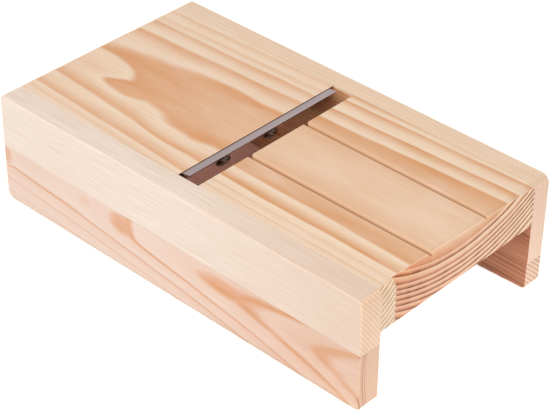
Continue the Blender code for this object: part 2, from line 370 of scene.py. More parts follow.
def end_share(recipe, from_middle, y, height, grain):
    """How far a point belongs to the strip's cut end, from 0 to 1.

    The end begins past a line on its rounding, where the distance from the middle less the height
    is the line's place, plus its turn times y.
    """
    line_place, line_turn = grain.get("end_line", END_LINE)
    past_line = from_middle - height - y * line_turn - line_place
    past = recipe.smooth_step(past_line, -END_LINE_SOFTNESS, END_LINE_SOFTNESS)
    return recipe.attribute("end_face") * past


def over_the_rounding(recipe, place, from_middle, height, on_end):
    """Where the pattern of a point near the top comes from.

    Seen on a slant, the top's pattern stays straight as far as the end's line, and the end's
    pattern as far up as that line. So a point on the rounding is carried along the slant, by its
    drop below the top or its retreat from the end.
    """
    near_top = recipe.smooth_step(height, TOP_HEIGHT - ROUNDING_REACH - 1, TOP_HEIGHT - ROUNDING_REACH)
    drop = (1 - on_end) * near_top * (TOP_HEIGHT - height)
    retreat = on_end * near_top * (END_DISTANCE - from_middle)
    to_x = drop * DROP_CARRY_X
    to_y = drop * DROP_CARRY_Y + retreat * RETREAT_CARRY_Y
    to_z = drop + retreat * RETREAT_CARRY_Z
    slant = recipe.node("ShaderNodeCombineXYZ", {}, {0: to_x, 1: to_y, 2: to_z})
    return recipe.vector("ADD", place, slant)


def face_colour(recipe, place, x, tone, fibres, flecks, grain):
    """Colour along the fibres: rings that are stronger in some clouds, streaks, flecks and a blush."""
    clouds = recipe.noise(place, CLOUD_SIZE, 2.0, grain["seed"] + 3)
    tone_seen = tone * (clouds * 0.5 + 0.75) * grain.get("face_strength", 1.0) + (clouds - 0.5) * 0.16
    colour = recipe.mix(tone_seen, grain["early"], grain["late"])
    fleck_share = recipe.smooth_step(flecks, 0.62, 0.8) * 0.2
    streak_share = (fibres - 0.5) * grain.get("fibre", 0.6) + fleck_share + 0.12
    colour = recipe.mix(streak_share, colour, grain["streak"])
    if "browner_end" in grain:
        to_end = recipe.smooth_step(x, BROWNING_START, BROWNING_FULL)
        colour = recipe.mix(to_end * 0.4, colour, grain["browner_end"])
    blush = recipe.noise(place, BLUSH_SIZE, 2.0, grain["seed"] + 13)
    return recipe.mix(recipe.smooth_step(blush, 0.5, 0.72) * 0.4, colour, grain["blush"])


def end_colour(recipe, place, y, depth, across, tone, grain):
    """Colour across the fibres: the rings, hatched by fine rays square to them, in uneven patches."""
    rays = recipe.node("ShaderNodeCombineXYZ", {}, {0: across, 1: depth})
    hatching = recipe.noise(rays, RAY_SIZE, 2.0, grain["seed"] + 9)
    patches = recipe.noise(place, PATCH_SIZE, 2.0, grain["seed"] + 11)
    end_tone = tone * (patches * 0.4 + 0.8) + (hatching - 0.5) * 0.25 + (patches - 0.5) * 0.15
    if "end_pale_until" in grain:
        edge = grain["end_pale_until"]
        deepening = recipe.smooth_step(depth, edge - PALE_BEFORE, edge + PALE_AFTER)
        end_tone = end_tone * (deepening * 0.45 + 0.55)
    if "end_middle" in grain:
        colour = recipe.mix(end_tone * 2, grain["end_early"], grain["end_middle"])
        colour = recipe.mix(end_tone * 2 - 1, colour, grain["end_late"])
    else:
        colour = recipe.mix(end_tone, grain["end_early"], grain["end_late"])
    if "end_warmth" in grain:
        colour = recipe.mix(y * (-1 / WARMTH_REACH) + 0.53, colour, grain["end_warmth"], "MULTIPLY")
    return colour


def painted_shade_colour(recipe, place, from_middle, tone, fibres, grain):
    """Painted shade on a face that looks into the space under the table: darker and redder, and lighter
    towards the throat where light comes in.
    """
    lines = recipe.noise(place, HIDDEN_LINE_SIZE, 1.5, grain["seed"] + 15)
    share = tone * grain.get("hidden_strength", 1.0) + (fibres - 0.5) * 0.6 + (lines - 0.5) * 1.3 + 0.15
    outer = recipe.mix(share, HIDDEN_SHADE_PALE, HIDDEN_SHADE_DARK)
    inner = recipe.mix(share, INNERMOST_SHADE_PALE, INNERMOST_SHADE_DARK)
    return recipe.mix(recipe.smooth_step(from_middle, INNERMOST_START, INNERMOST_FULL), outer, inner)


def groove_shade(recipe, y, height):
    """How much painted shade darkens the bottom of the two grooves, from 0 to 1."""
    groove_shade_share = 0
    for middle in GROOVE_PLACES:
        aside = recipe.math("ABSOLUTE", y - middle / MM)
        groove_shade_share = groove_shade_share + recipe.smooth_step(aside, GROOVE_SHADE_REACH, GROOVE_SHADE_CORE)
    return groove_shade_share * recipe.smooth_step(height, TOP_HEIGHT - GROOVE_SHADE_FULL, TOP_HEIGHT - GROOVE_SHADE_TOP)


def pine(name, grain):
    """Planed pine: growth rings, fibres along x, rings cut across on the ends; painted shade on hidden faces
    and, where set, in the grooves, and a painted highlight on the ends' top edge.
    """
    recipe = Recipe(name)
    place = recipe.place()
    x, y, height = recipe.parts(place)
    from_middle = recipe.math("ABSOLUTE", x)
    on_end = end_share(recipe, from_middle, y, height, grain)
    carried = over_the_rounding(recipe, place, from_middle, height, on_end)
    depth, across = ring_depth(recipe, carried, grain)
    tone = ring_tone(recipe, carried, depth, grain)
    fibres = recipe.noise(place, FIBRE_SIZE, 3.0, grain["seed"] + 5)
    flecks = recipe.noise(place, FLECK_SIZE, 1.0, grain["seed"] + 7)

    colour = face_colour(recipe, place, x, tone, fibres, flecks, grain)
    # Painted shade at the bottom of the grooves
    if "groove_shaded" in grain:
        colour = recipe.mix(groove_shade(recipe, y, height), colour, GROOVE_SHADE_TONE)
    colour = recipe.mix(on_end, colour, end_colour(recipe, place, y, depth, across, tone, grain))
    # Painted highlight along the top edge of a cut end, where its rounding meets the top
    if "painted_edge_highlight" in grain:
        on_edge_highlight = recipe.smooth_step(recipe.math("ABSOLUTE", on_end - 0.5), 0.5, 0.1)
        colour = recipe.mix(on_edge_highlight * grain["painted_edge_highlight"], colour, EDGE_HIGHLIGHT_TONE)
    # Painted shade on the faces that look into the space under the table
    below = recipe.smooth_step(height, TOP_HEIGHT - HIDDEN_TOP, TOP_HEIGHT - HIDDEN_FULL)
    hidden = recipe.attribute("hidden_face") * below
    colour = recipe.mix(hidden, colour, painted_shade_colour(recipe, place, from_middle, tone, fibres, grain))

    relief = fibres * 0.5 + flecks * 0.25 - tone * 0.3
    bump = recipe.node("ShaderNodeBump", {}, {"Strength": 0.22, "Distance": PINE_RELIEF, "Height": relief})
    recipe.surface(Base_Color=colour, Roughness=0.52 + fibres * 0.2, Normal=bump)
    recipe.surface(Specular_IOR_Level=0.35)
    return recipe.material


# Painted tones, not the wood's own: shade in the grooves and under the table, and a highlight on the ends'
# top edge
# Painted shade for the bottom of the grooves
GROOVE_SHADE_TONE = srgb(190, 134, 88, TOP_LIGHT)
# Painted shade on faces under the table, and its lighter tones near the throat
HIDDEN_SHADE_PALE = srgb(212, 144, 104, TOP_LIGHT)
HIDDEN_SHADE_DARK = srgb(146, 80, 50, TOP_LIGHT)
INNERMOST_SHADE_PALE = srgb(255, 200, 154, TOP_LIGHT)
INNERMOST_SHADE_DARK = srgb(230, 150, 100, TOP_LIGHT)
# Painted highlight along the top edge of a cut end
EDGE_HIGHLIGHT_TONE = srgb(255, 232, 206, TOP_LIGHT)

# The grain of each strip, in millimetres. The rings grow outward along growth from a line through
# origin, and across is square to it. rings lists each ring's outer edge, its tone and, where it
# differs, the share of it that is late wood; spacing and tone stand for even rings. A swell has a
# centre, a size and a height, and a blot a centre, a size, a strength and the edge of its ring.
# The colours are early and late wood, streaks and blushes along the fibres, and the cut ends.
OUTFEED_GRAIN = {
    "origin": (0, -3.3, 52.5), "growth": (-0.0125, 0, -1), "across": (0.013, 1, 0), "bend": 0.00385,
    "rings": [(-3.0, 0), (1.5, 0.85), (3.7, 0.8), (6.2, 0.7), (7.6, 0.35), (9.6, 0.4),
              (12.4, 0.8), (15.2, 0.8), (18.2, 0.8), (21.5, 0.8), (25.0, 0.8)],
    "late_share": 0.62, "wobble": 0.4, "wobble_size": (38, 14, 20), "seed": 2.0,
    "hidden_strength": 0.4,
    "swells": [((-90, -8.5, 52), (22, 8, 14), 1.0), ((-70, -18, 52), (14, 6, 14), -0.6),
               ((-28, -26, 52), (18, 9, 14), -0.55), ((-42, 15, 52), (22, 8, 14), -0.22),
               ((-50, 36, 52), (80, 5, 14), 0.35)],
    "early": srgb(241, 218, 195, TOP_LIGHT), "late": srgb(217, 149, 94, TOP_LIGHT),
    "streak": srgb(206, 156, 116, TOP_LIGHT), "blush": srgb(236, 206, 188, TOP_LIGHT),
    "end_early": srgb(250, 216, 186, END_LIGHT), "end_middle": srgb(222, 168, 128, END_LIGHT),
    "end_late": srgb(130, 74, 48, END_LIGHT),
}
INFEED_GRAIN = {
    "origin": (0, -0.4, 52.5), "growth": (-0.008, 0, -1), "across": (-0.015, 1, 0), "bend": 0.0055,
    "rings": [(-2.8, 0), (3.6, 0.84, 0.78), (6.25, 0.95, 0.7), (9.9, 0.8, 0.5), (12.5, 1.0), (14.9, 1.0),
              (17.5, 1.0), (20.0, 1.0), (22.8, 1.0), (26.2, 1.0), (30.5, 1.0)],
    "late_share": 0.58, "wobble": 0.6, "wobble_size": (40, 16, 20), "seed": 11.0,
    "hidden_strength": 0.4, "end_pale_until": 3.6,
    # The grooves of this board get painted shade, and its end's top edge a painted highlight of this
    # strength
    "groove_shaded": True, "painted_edge_highlight": 0.7, "end_line": (48.8, 0.042), "end_warmth": (0.88, 0.62, 0.5, 1),
    "early": srgb(243, 221, 197, TOP_LIGHT), "late": srgb(213, 146, 88, TOP_LIGHT),
    "streak": srgb(206, 156, 116, TOP_LIGHT), "blush": srgb(236, 206, 188, TOP_LIGHT),
    "end_early": srgb(255, 238, 214, END_LIGHT), "end_middle": srgb(228, 172, 132, END_LIGHT),
    "end_late": srgb(104, 40, 20, END_LIGHT),
}
INFEED_LAMELLA_GRAIN = {
    "origin": (0, -42, 52.5), "growth": (0.004, 0.574, -0.819), "across": (0, 0.819, 0.574), "bend": 0.004,
    "spacing": 2.4, "tone": 0.9, "late_share": 0.3, "wobble": 0.6, "wobble_size": (60, 12, 12), "seed": 17.0,
    "end_line": (48.3, 0.0),
    "early": srgb(239, 216, 194, TOP_LIGHT), "late": srgb(226, 186, 150, TOP_LIGHT),
    "streak": srgb(212, 168, 130, TOP_LIGHT), "blush": srgb(238, 212, 196, TOP_LIGHT),
    "end_early": srgb(255, 230, 200, END_LIGHT), "end_late": srgb(134, 74, 46, END_LIGHT),
}
NEAR_UPPER_GRAIN = {
    "origin": (0, -57, 52.5), "growth": (0.006, 0.766, 0.643), "across": (0, 0.643, -0.766), "bend": 0.003,
    "spacing": 1.5, "tone": 0.4, "late_share": 0.4, "wobble": 0.7, "wobble_size": (70, 10, 10), "seed": 23.0,
    "face_strength": 0.35, "fibre": 1.1,
    "early": srgb(252, 240, 230, SIDE_LIGHT), "late": srgb(240, 214, 194, SIDE_LIGHT),
    "streak": srgb(216, 176, 148, SIDE_LIGHT), "blush": srgb(250, 228, 218, SIDE_LIGHT),
    "browner_end": srgb(226, 192, 164, SIDE_LIGHT),
    "end_early": srgb(250, 221, 195, END_LIGHT), "end_late": srgb(176, 126, 94, END_LIGHT),
}
NEAR_LOWER_GRAIN = {
    "origin": (0, -57, 22.4), "growth": (0.033, 0.9, 0), "across": (0.059, 0, 1), "bend": -0.0273,
    "bend_change": (0.00011, 0.000001),
    "rings": [(-30.0, 0), (-19.0, 0.25), (-11.6, 0.6, 0.13), (-5.87, 0.85, 0.16), (-1.71, 1.0, 0.16),
              (1.5, 1.0, 0.2), (2.9, 0.95, 0.3), (4.9, 0.8), (6.0, 0.7), (14.0, 0.15)],
    "late_share": 0.26, "wobble": 0.45, "wobble_size": (24, 20, 9), "seed": 31.0,
    "swells": [((-50, -57, 24), (34, 6, 9), -1.8), ((-102, -57, 22), (5, 6, 6), 1.5)],
    "blots": [((32, -57, 20.5), (18, 6, 4.7), 0.9, 1.5), ((-28, -57, 22), (9, 6, 6), 0.8, -1.71),
              ((-51, -57, 22.5), (5, 6, 3), 0.35, 0), ((-101, -57, 23), (4, 6, 5), 0.6, 0)],
    "early": srgb(248, 228, 218, SIDE_LIGHT), "late": srgb(228, 156, 94, SIDE_LIGHT),
    "streak": srgb(226, 186, 160, SIDE_LIGHT), "blush": srgb(247, 214, 206, SIDE_LIGHT),
    "browner_end": srgb(216, 166, 130, SIDE_LIGHT),
    "end_early": srgb(231, 196, 170, END_LIGHT), "end_late": srgb(176, 96, 72, END_LIGHT),
}
FAR_UPPER_GRAIN = {
    "origin": (0, 57, 52.5), "growth": (0.018, 0.985, 0.17), "across": (0, -0.17, 0.985), "bend": 0.003,
    "spacing": 2.2, "tone": 0.6, "late_share": 0.4, "wobble": 1.2, "wobble_size": (50, 14, 14), "seed": 41.0,
    "end_line": (50.4, 0.0), "fibre": 0.9, "swells": [((103, 57, 52), (50, 14, 40), 5.0)],
    "early": srgb(238, 213, 190, TOP_LIGHT), "late": srgb(222, 182, 146, TOP_LIGHT),
    "streak": srgb(212, 170, 134, TOP_LIGHT), "blush": srgb(238, 210, 192, TOP_LIGHT),
    "end_early": srgb(249, 219, 199, END_LIGHT), "end_late": srgb(230, 192, 166, END_LIGHT),
}
FAR_LOWER_GRAIN = {
    "origin": (0, 52, 0), "growth": (0.02, 0.72, 0.69), "across": (0, 0.69, -0.72), "bend": 0.004,
    "spacing": 1.7, "tone": 0.9, "late_share": 0.3, "wobble": 0.6, "wobble_size": (60, 12, 12), "seed": 47.0,
    "early": srgb(238, 210, 186, TOP_LIGHT), "late": srgb(222, 180, 144, TOP_LIGHT),
    "streak": srgb(210, 164, 126, TOP_LIGHT), "blush": srgb(238, 208, 190, TOP_LIGHT),
    "end_early": srgb(246, 212, 188, END_LIGHT), "end_late": srgb(150, 92, 66, END_LIGHT),
}


def ground_steel(name):
    """Satin steel with fine grinding lines square to the edge and a slight warm cloudiness."""
    recipe = Recipe(name)
    place = recipe.place()
    lines = recipe.noise(place, (3, 0.12, 3), 3.0, 5.0)
    clouds = recipe.noise(place, (6, 14, 6), 2.0, 8.0)
    colour = recipe.mix(lines * 0.5 + clouds * 0.5, srgb(198, 182, 183), srgb(160, 144, 146))
    bump = recipe.node("ShaderNodeBump", {}, {"Strength": 0.15, "Distance": STEEL_RELIEF, "Height": lines})
    recipe.surface(Base_Color=colour, Roughness=0.3 + lines * 0.14, Normal=bump)
    recipe.surface(Metallic=1.0)
    return recipe.material


def dark_plating(name):
    """Dark zinc plating, a little duller and browner in patches."""
    recipe = Recipe(name)
    place = recipe.place()
    clouds = recipe.noise(place, (0.9, 0.9, 0.9), 3.0, 3.0)
    colour = recipe.mix(clouds, srgb(140, 126, 120), srgb(84, 72, 66))
    recipe.surface(Base_Color=colour, Roughness=0.14 + clouds * 0.14)
    recipe.surface(Metallic=1.0)
    return recipe.material


def grid_faces(rows, columns, first=0):
    """Corner numbers of a grid of quads whose columns close on themselves."""
    row, column = np.meshgrid(np.arange(rows - 1), np.arange(columns), indexing="ij")
    after = (column + 1) % columns
    corners = np.stack([row * columns + column, row * columns + after,
                        (row + 1) * columns + after, (row + 1) * columns + column], -1)
    return corners.reshape(-1, 4) + first


def new_piece(name, points, faces, material, body, slot, *nodes):
    """Put points and faces into one welded mesh with its faces outward, and let it ride."""
    mesh = bpy.data.meshes.new(name)
    mesh.from_pydata(points.tolist(), [], faces)
    work = bmesh.new()
    work.from_mesh(mesh)
    bmesh.ops.remove_doubles(work, verts=work.verts, dist=WELD)
    bmesh.ops.dissolve_degenerate(work, edges=work.edges, dist=WELD)
    bmesh.ops.recalc_face_normals(work, faces=work.faces)
    work.to_mesh(mesh)
    work.free()
    mesh.shade_smooth()
    mesh.set_sharp_from_angle(angle=SMOOTH_ANGLE)
    mesh.materials.append(material)
    piece = bpy.data.objects.new(name, mesh)
    bpy.context.scene.collection.objects.link(piece)
    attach(piece, body)
    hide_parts(*nodes)
    return piece


def lofted(rings):
    """Faces of a closed skin over rings of points, with a flat cap on each end."""
    count, around = rings.shape[:2]
    faces = grid_faces(count, around).tolist()
    faces.append(list(range(around)))
    faces.append(list(range((count - 1) * around, count * around)))
    return rings.reshape(-1, 3), faces


def mark_faces(piece):
    """Note on each face whether it cuts across the fibres, and whether it looks into the hidden space.

    A face cuts the fibres where its normal leans more than a seventh of the way to x. A hidden
    face looks level or down, with its middle between the walls and clear of both ends.
    """
    mesh = piece.data
    count = len(mesh.polygons)
    normals = np.empty(count * 3)
    centres = np.empty(count * 3)
    mesh.polygons.foreach_get("normal", normals)
    mesh.polygons.foreach_get("center", centres)
    normals = normals.reshape(-1, 3)
    centres = centres.reshape(-1, 3)
    end_face = np.abs(normals[:, 0]) > END_LEAN
    # Faces that look into the hidden space get painted shade in the pine material
    hidden = ((np.abs(centres[:, 0]) < HALF_LENGTH - END_RADIUS) & (normals[:, 2] < LEVEL_LEAN)
              & (centres[:, 1] > NEAR_INNER - EASED_EDGE) & (centres[:, 1] < FAR_INNER + EASED_EDGE))
    for name, values in (("end_face", end_face), ("hidden_face", hidden)):
        note = mesh.attributes.new(name, "FLOAT", "FACE")
        note.data.foreach_set("value", values.astype(np.float32))


def pulled_in(corners, insets):
    """Corners of a polygon after each side moves inward by its own inset.

    Side i runs from corner i to the next, counterclockwise. A corner is where two moved sides
    cross: the solution of two equations, inward normal times point equals inset.
    """
    sides = np.roll(corners, -1, 0) - corners
    inward = np.stack([-sides[:, 1], sides[:, 0]], 1) / np.linalg.norm(sides, axis=1)[:, None]
    before = np.roll(inward, 1, 0)
    inset_before = np.roll(insets, 1)
    area = before[:, 0] * inward[:, 1] - before[:, 1] * inward[:, 0]
    shift = np.stack([inset_before * inward[:, 1] - insets * before[:, 1],
                      insets * before[:, 0] - inset_before * inward[:, 0]], 1) / area[:, None]
    return corners + shift


def rounded(corners, radii):
    """A polygon with round corners.

    Each arc's centre lies on the corner's bisector, radius over the sine of the half angle away,
    and its points turn evenly from the one tangent point to the other.
    """
    to_last = np.roll(corners, 1, 0) - corners
    to_next = np.roll(corners, -1, 0) - corners
    to_last /= np.linalg.norm(to_last, axis=1)[:, None]
    to_next /= np.linalg.norm(to_next, axis=1)[:, None]
    half = np.arccos(np.clip((to_last * to_next).sum(1), -1, 1)) / 2
    bisector = to_last + to_next
    bisector /= np.linalg.norm(bisector, axis=1)[:, None]
    centre = corners + bisector * (radii / np.sin(half))[:, None]
    start = corners + to_last * (radii / np.tan(half))[:, None] - centre
    end = corners + to_next * (radii / np.tan(half))[:, None] - centre
    turn = np.pi - 2 * half
    share = np.linspace(0, 1, ARC_STEPS + 1)[None, :, None]
    turn = turn[:, None, None]
    arc = np.sin((1 - share) * turn) * start[:, None] + np.sin(share * turn) * end[:, None]
    return (centre[:, None] + arc / np.sin(turn)).reshape(-1, 2)


def strip_rings(corners, radii, eased, low_y, high_y, ease_low, ease_high):
    """Rings of a strip: its side outline carried along y, drawn in at rims that are eased.

    At turn a of a rim the outline is drawn in by ease times (1 - sin a), at ease times
    (1 - cos a) from the face. eased is 1 for the sides of the outline that are free to be drawn in.
    """
    turns = np.linspace(0, np.pi / 2, ARC_STEPS + 1)
    from_face = 1 - np.cos(turns)
    drawn_in = 1 - np.sin(turns)
    rims = list(zip(low_y + ease_low * from_face, ease_low * drawn_in))
    rims += list(zip(high_y - ease_high * from_face[::-1], ease_high * drawn_in[::-1]))
    rings = []
    for y, inset in rims:
        outline = rounded(pulled_in(corners, inset * eased), np.maximum(radii - inset, WELD))
        rings.append(np.stack([outline[:, 0], np.full(len(outline), y), outline[:, 1]], 1))
    return np.array(rings)


def wall_strip(node, joint_below, grain):
    """A strip of a side wall, round at its free ends and eased along its free rims."""
    low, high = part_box(node)
    low_z = low.z - SEAM_FILL if joint_below else low.z
    high_z = high.z if joint_below else high.z + SEAM_FILL
    near = low.y < 0
    low_y = low.y if near else low.y - SEAM_FILL
    high_y = high.y + SEAM_FILL if near else high.y
    corners = np.array([(low.x, low_z), (high.x, low_z), (high.x, high_z), (low.x, high_z)])
    if joint_below:
        radii = np.array((WELD, WELD, END_RADIUS, OUTFEED_TOP_RADIUS))
        eased = np.array((0, 1, 1, 1))
    else:
        radii = np.array((END_RADIUS, INFEED_FOOT_RADIUS, WELD, WELD))
        eased = np.array((1, 1, 0, 1))
    crisp = WELD if joint_below else CRISP_EDGE
    ease_low = EASED_EDGE if near else crisp
    ease_high = crisp if near else EASED_EDGE
    rings = strip_rings(corners, radii, eased, low_y, high_y, ease_low, ease_high)
    finish = pine(node + "_pine", grain)
    piece = new_piece(node + "_pine", *lofted(rings), finish, "table", "wall_pine", node)
    mark_faces(piece)


def table_strip(node, corners, radii, grain, grooves=()):
    """A strip of the table: its side outline carried along y, lowered where a groove runs.

    A groove's depth is half of s plus the root of s squared plus wear squared, where s is half
    the groove's width less the distance from its middle. Points above the lowered top come
    down to it, and stay behind the slope of the lip.
    """
    low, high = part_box(node)
    low_y = low.y - SEAM_FILL
    high_y = high.y + SEAM_FILL
    stations = [np.array((low_y, high_y))]
    for middle in grooves:
        stations.append(middle + np.linspace(-1, 1, GROOVE_STATIONS) * GROOVE_WIDTH)
    stations = np.unique(np.concatenate(stations))
    outline = rounded(np.array(corners), np.array(radii))
    x = np.repeat(outline[None, :, 0], len(stations), 0)
    z = np.repeat(outline[None, :, 1], len(stations), 0)
    if grooves:
        spare = GROOVE_WIDTH / 2 - np.abs(stations[:, None] - np.array(grooves)[None])
        depth = (spare + np.sqrt(spare ** 2 + GROOVE_WEAR ** 2)).max(1) / 2
        depth[spare.max(1) < -GROOVE_WIDTH / 2] = 0
        top = (high.z - depth)[:, None]
        lowered = z > top
        z = np.minimum(z, top)
        lip_x = min(corner[0] for corner in corners)
        x = np.where(lowered, np.maximum(x, lip_x + high.z - top), x)
    y = np.repeat(stations[:, None], z.shape[1], 1)
    rings = np.stack([x, y, z], -1)
    finish = pine(node + "_pine", grain)
    piece = new_piece(node + "_pine", *lofted(rings), finish, "table", "table_pine", node)
    mark_faces(piece)


def build_table():
    """The two halves of the table, each a board and a narrow strip on its near side."""
    low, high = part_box("outfeed_board")
    lip_x = high.x
    foot_x = lip_x - (high.z - low.z) / math.tan(BED_ANGLE)
    outfeed = [(low.x, low.z), (foot_x, low.z), (lip_x, high.z), (low.x, high.z)]
    outfeed_radii = (CRISP_EDGE, CRISP_EDGE, LIP_EDGE, OUTFEED_TOP_RADIUS)
    table_strip("outfeed_board", outfeed, outfeed_radii, OUTFEED_GRAIN)
    table_strip("outfeed_near_lamella", outfeed, outfeed_radii, OUTFEED_GRAIN)

    low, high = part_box("infeed_board")
    undercut_foot = low.x + high.z - low.z
    infeed = [(undercut_foot, low.z), (high.x, low.z), (high.x, high.z), (low.x, high.z)]
    infeed_radii = (CRISP_EDGE, CRISP_EDGE, END_RADIUS, LIP_EDGE)
    table_strip("infeed_board", infeed, infeed_radii, INFEED_GRAIN, GROOVE_PLACES)
    table_strip("infeed_near_lamella", infeed, infeed_radii, INFEED_LAMELLA_GRAIN)


def bed_frame(origin):
    """Placement with X up the slope of the bed, Y across it and Z square into the wood."""
    return Matrix.Translation(origin) @ Matrix.Rotation(-BED_ANGLE, 4, "Y")


def placed(points, placement):
    """Points of a drawing, moved by a placement."""
    turn = np.array(placement)
    return points @ turn[:3, :3].T + turn[:3, 3]


def blade_profile():
    """The edge and the end of its honed face, along the slope and into the wood, and the grind's end."""
    hone = np.array((-math.cos(HONE_ANGLE), math.sin(HONE_ANGLE))) * HONE_WIDTH
    grind_end = hone[0] - (BLADE_THICKNESS - hone[1]) / math.tan(GRIND_ANGLE)
    return np.array([(0, 0), hone]), grind_end


def slot_cell(middle_x, middle_y, half_x, height):
    """One face of the plate round a slot, as a grid from the slot's rim to the cell's border.

    The border is walked in even steps. The rim's points have the same turn as the border's, on a
    circle drawn out along x by the slot's half length times tanh of a steep cosine of the turn,
    and rows between them are blended in a straight line.
    """
    step = np.linspace(-1, 1, CELL_STEPS, endpoint=False)
    one = np.ones(CELL_STEPS)
    border = np.concatenate([np.stack([step, -one], 1), np.stack([one, step], 1),
                             np.stack([-step, one], 1), np.stack([-one, -step], 1)])
    border = border * (half_x, CELL_HALF_WIDTH)
    turn = np.arctan2(border[:, 1], border[:, 0])
    rim = np.stack([np.cos(turn), np.sin(turn)], 1) * SLOT_RADIUS
    rim[:, 0] += np.tanh(np.cos(turn) * SLOT_STEEPNESS) * SLOT_HALF_LENGTH
    share = np.linspace(0, 1, CELL_ROWS)[:, None, None]
    flat = rim[None] * (1 - share) + border[None] * share
    heights = np.full(flat.shape[:2], height)
    return np.stack([flat[..., 0] + middle_x, flat[..., 1] + middle_y, heights], -1)


def build_blade():
    """A ground plate with two slots: a profile carried across, with round-holed cells let in."""
    low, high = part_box("blade")
    edge = Vector((high.x, (low.y + high.y) / 2, high.z))
    half = (high.y - low.y) / 2
    honed, grind_end = blade_profile()
    slots = [sum(corner.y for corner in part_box(node)) / 2 - edge.y for node in SCREW_NODES]
    flat_x = np.linspace(-BLADE_LENGTH, grind_end, CELL_STEPS + 1)
    middle_x = (flat_x[0] + flat_x[-1]) / 2
    half_x = (flat_x[-1] - flat_x[0]) / 2
    shift = -SLOT_MIDDLE_FROM_EDGE - middle_x

    breaks = [-half, slots[0] - CELL_HALF_WIDTH, slots[0] + CELL_HALF_WIDTH,
              slots[1] - CELL_HALF_WIDTH, slots[1] + CELL_HALF_WIDTH, half]
    runs = [np.linspace(start, end, CELL_STEPS + 1) for start, end in zip(breaks, breaks[1:])]
    stations = np.unique(np.concatenate(runs))
    top = np.stack([flat_x[::-1], np.full(CELL_STEPS + 1, BLADE_THICKNESS)], 1)
    under = np.stack([flat_x, np.zeros(CELL_STEPS + 1)], 1)
    loop = np.concatenate([honed, top, under])
    across = np.repeat(stations[:, None], len(loop), 1)
    rings = np.stack([np.repeat(loop[None, :, 0], len(stations), 0), across,
                      np.repeat(loop[None, :, 1], len(stations), 0)], -1)
    points, faces = lofted(rings)
    cut_faces = []
    for corners in faces:
        middle = points[corners].mean(0)
        on_flat = len(corners) == 4 and -BLADE_LENGTH < middle[0] < grind_end
        on_flat = on_flat and min(abs(middle[2]), abs(middle[2] - BLADE_THICKNESS)) < WELD
        in_cell = min(abs(middle[1] - slot) for slot in slots) < CELL_HALF_WIDTH
        if not (on_flat and in_cell):
            cut_faces.append(corners)
    for slot in slots:
        cells = [slot_cell(middle_x, slot, half_x, height) for height in (0, BLADE_THICKNESS)]
        for cell in cells:
            share = np.linspace(1, 0, cell.shape[0])[:, None]
            cell[..., 0] += shift * share
            cut_faces += grid_faces(*cell.shape[:2], len(points)).tolist()
            points = np.concatenate([points, cell.reshape(-1, 3)])
        wall = np.stack([cells[0][0], cells[1][0]])
        cut_faces += grid_faces(*wall.shape[:2], len(points)).tolist()
        points = np.concatenate([points, wall.reshape(-1, 3)])
    points = placed(points, bed_frame(edge))
    steel = ground_steel("ground_steel")
    piece = new_piece("ground_blade", points, cut_faces, steel, "blade", "blade_steel", "blade")
    bevel = piece.modifiers.new("softened", "BEVEL")
    bevel.width = BLADE_SOFTENING
    bevel.segments = 2
    bevel.limit_method = "ANGLE"
    bevel.angle_limit = math.radians(45)
    return edge


def screw_skin():
    """Points of a pan-head screw with its axis along Z, the head towards -Z.

    A profile of radius and height turns about the axis. Along the thread the radius is the
    core's plus the thread's depth times a triangle wave of height over pitch less turn, and the
    head's dome is let in by the recess: the deeper of two crossed wings with sloping ends.
    """
    tip = SCREW_LENGTH - HEAD_SEAT_GAP
    heights = np.linspace(tip, 0, SHANK_STEPS)
    core = np.minimum(CORE_RADIUS, CORE_RADIUS * (tip - heights) / POINT_LENGTH + TIP_RADIUS)
    seat = -HEAD_SEAT_GAP
    turns = np.linspace(0, np.pi / 2, RIM_STEPS)
    under_rim = np.stack([HEAD_RADIUS - RIM_ROUNDING * (1 - np.sin(turns)),
                          seat - RIM_ROUNDING * (1 - np.cos(turns))], 1)
    lift = np.linspace(0, np.pi / 2, DOME_STEPS)
    rim = seat - HEAD_RIM
    dome = np.stack([HEAD_RADIUS * np.cos(lift), rim - (HEAD_HEIGHT - HEAD_RIM) * np.sin(lift)], 1)
    radius = np.concatenate([core, [CORE_RADIUS], under_rim[:, 0], dome[:, 0]])
    height = np.concatenate([heights, [seat], under_rim[:, 1], dome[:, 1]])
    angle = np.arange(TURN_STEPS) / TURN_STEPS * 2 * np.pi
    radius, turn = np.meshgrid(radius, angle, indexing="ij")
    height = np.repeat(height[:, None], TURN_STEPS, 1)

    cycle = (height / THREAD_PITCH - turn / (2 * np.pi)) % 1
    crest = np.clip(1 - np.abs(cycle - 0.5) * 4, 0, 1)
    past_neck = np.clip((height - NECK_LENGTH) / THREAD_PITCH, 0, 1)
    before_tip = np.clip((tip - height) / POINT_LENGTH, 0, 1)
    radius = radius + (THREAD_RADIUS - CORE_RADIUS) * crest * past_neck * before_tip

    x = radius * np.cos(turn)
    y = radius * np.sin(turn)
    wings = []
    for along, beside in ((np.abs(x), np.abs(y)), (np.abs(y), np.abs(x))):
        end = np.clip((RECESS_HALF_SPAN - along) / (RECESS_HALF_SPAN - RECESS_HALF_SPAN_DEEP), 0, 1)
        wall = np.clip((RECESS_HALF_WIDTH - beside) / RECESS_WALL, 0, 1)
        wings.append(np.minimum(end, wall))
    on_dome = height < rim
    height = height + np.where(on_dome, RECESS_DEPTH * np.maximum(*wings), 0)
    return np.stack([x, y, height], -1)


